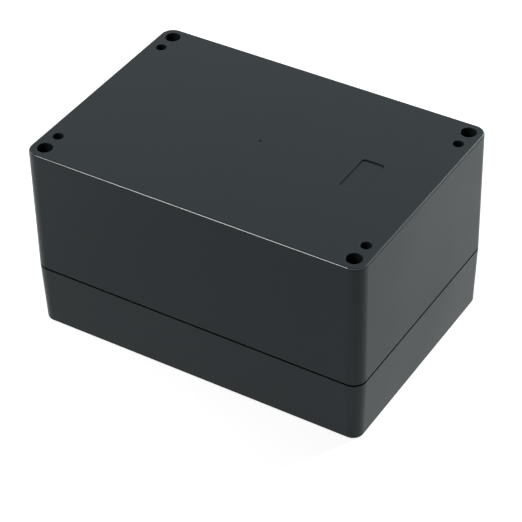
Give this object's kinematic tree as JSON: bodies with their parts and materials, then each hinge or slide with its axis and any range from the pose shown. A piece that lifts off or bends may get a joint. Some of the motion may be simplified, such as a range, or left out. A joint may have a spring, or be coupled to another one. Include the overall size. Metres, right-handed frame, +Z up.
{
  "type": "plastic project box",
  "caption": "Rectangular moulded plastic box for electronics, standing on its lid, with a sealed parting line, lid screws in corner wells and mounting holes through its back.",
  "frame": {"origin": "centre of the lid's outer face, on which the box stands", "axes": "+Z up from the lid to the back, +X along the box's length, +Y across it"},
  "size_m": [0.16, 0.11, 0.09],
  "materials": {
    "box_plastic": "dark grey ABS with a fine satin moulded grain",
    "seal_rubber": "black moulded silicone rubber",
    "screw_steel": "stainless steel, turned and rolled",
    "ring_rubber": "black nitrile rubber",
    "insert_brass": "turned and knurled brass"
  },
  "bodies": {
    "lid": {"lid": "box_plastic", "gasket": "seal_rubber"},
    "base": {"base_shell": "box_plastic", "threaded_insert_1": "insert_brass", "threaded_insert_2": "insert_brass", "threaded_insert_3": "insert_brass", "threaded_insert_4": "insert_brass"},
    "ring_1": {"retaining_ring_1": "ring_rubber"},
    "screw_1": {"lid_screw_1": "screw_steel"},
    "ring_2": {"retaining_ring_2": "ring_rubber"},
    "screw_2": {"lid_screw_2": "screw_steel"},
    "ring_3": {"retaining_ring_3": "ring_rubber"},
    "screw_3": {"lid_screw_3": "screw_steel"},
    "ring_4": {"retaining_ring_4": "ring_rubber"},
    "screw_4": {"lid_screw_4": "screw_steel"}
  },
  "joints": [
    {"name": "base_lift", "type": "slide", "parent": "lid", "child": "base", "axis": [0, 0, 1], "range_m": [0, 0.12]},
    {"name": "screw_1_travel", "type": "slide", "parent": "lid", "child": "ring_1", "axis": [0, 0, -1], "range_m": [0, 0.0084]},
    {"name": "screw_1_turn", "type": "hinge", "parent": "ring_1", "child": "screw_1", "pos_m": [0.0734, 0.0484, 0.013], "axis": [0, 0, -1], "range_deg": [0, 4320]},
    {"name": "screw_2_travel", "type": "slide", "parent": "lid", "child": "ring_2", "axis": [0, 0, -1], "range_m": [0, 0.0084]},
    {"name": "screw_2_turn", "type": "hinge", "parent": "ring_2", "child": "screw_2", "pos_m": [-0.0734, 0.0484, 0.013], "axis": [0, 0, -1], "range_deg": [0, 4320]},
    {"name": "screw_3_travel", "type": "slide", "parent": "lid", "child": "ring_3", "axis": [0, 0, -1], "range_m": [0, 0.0084]},
    {"name": "screw_3_turn", "type": "hinge", "parent": "ring_3", "child": "screw_3", "pos_m": [-0.0734, -0.0484, 0.013], "axis": [0, 0, -1], "range_deg": [0, 4320]},
    {"name": "screw_4_travel", "type": "slide", "parent": "lid", "child": "ring_4", "axis": [0, 0, -1], "range_m": [0, 0.0084]},
    {"name": "screw_4_turn", "type": "hinge", "parent": "ring_4", "child": "screw_4", "pos_m": [0.0734, -0.0484, 0.013], "axis": [0, 0, -1], "range_deg": [0, 4320]}
  ],
  "couplings": [
    {"joint": "screw_1_turn", "follows": "screw_1_travel", "rad_per_m": 8976},
    {"joint": "screw_2_turn", "follows": "screw_2_travel", "rad_per_m": 8976},
    {"joint": "screw_3_turn", "follows": "screw_3_travel", "rad_per_m": 8976},
    {"joint": "screw_4_turn", "follows": "screw_4_travel", "rad_per_m": 8976}
  ]
}
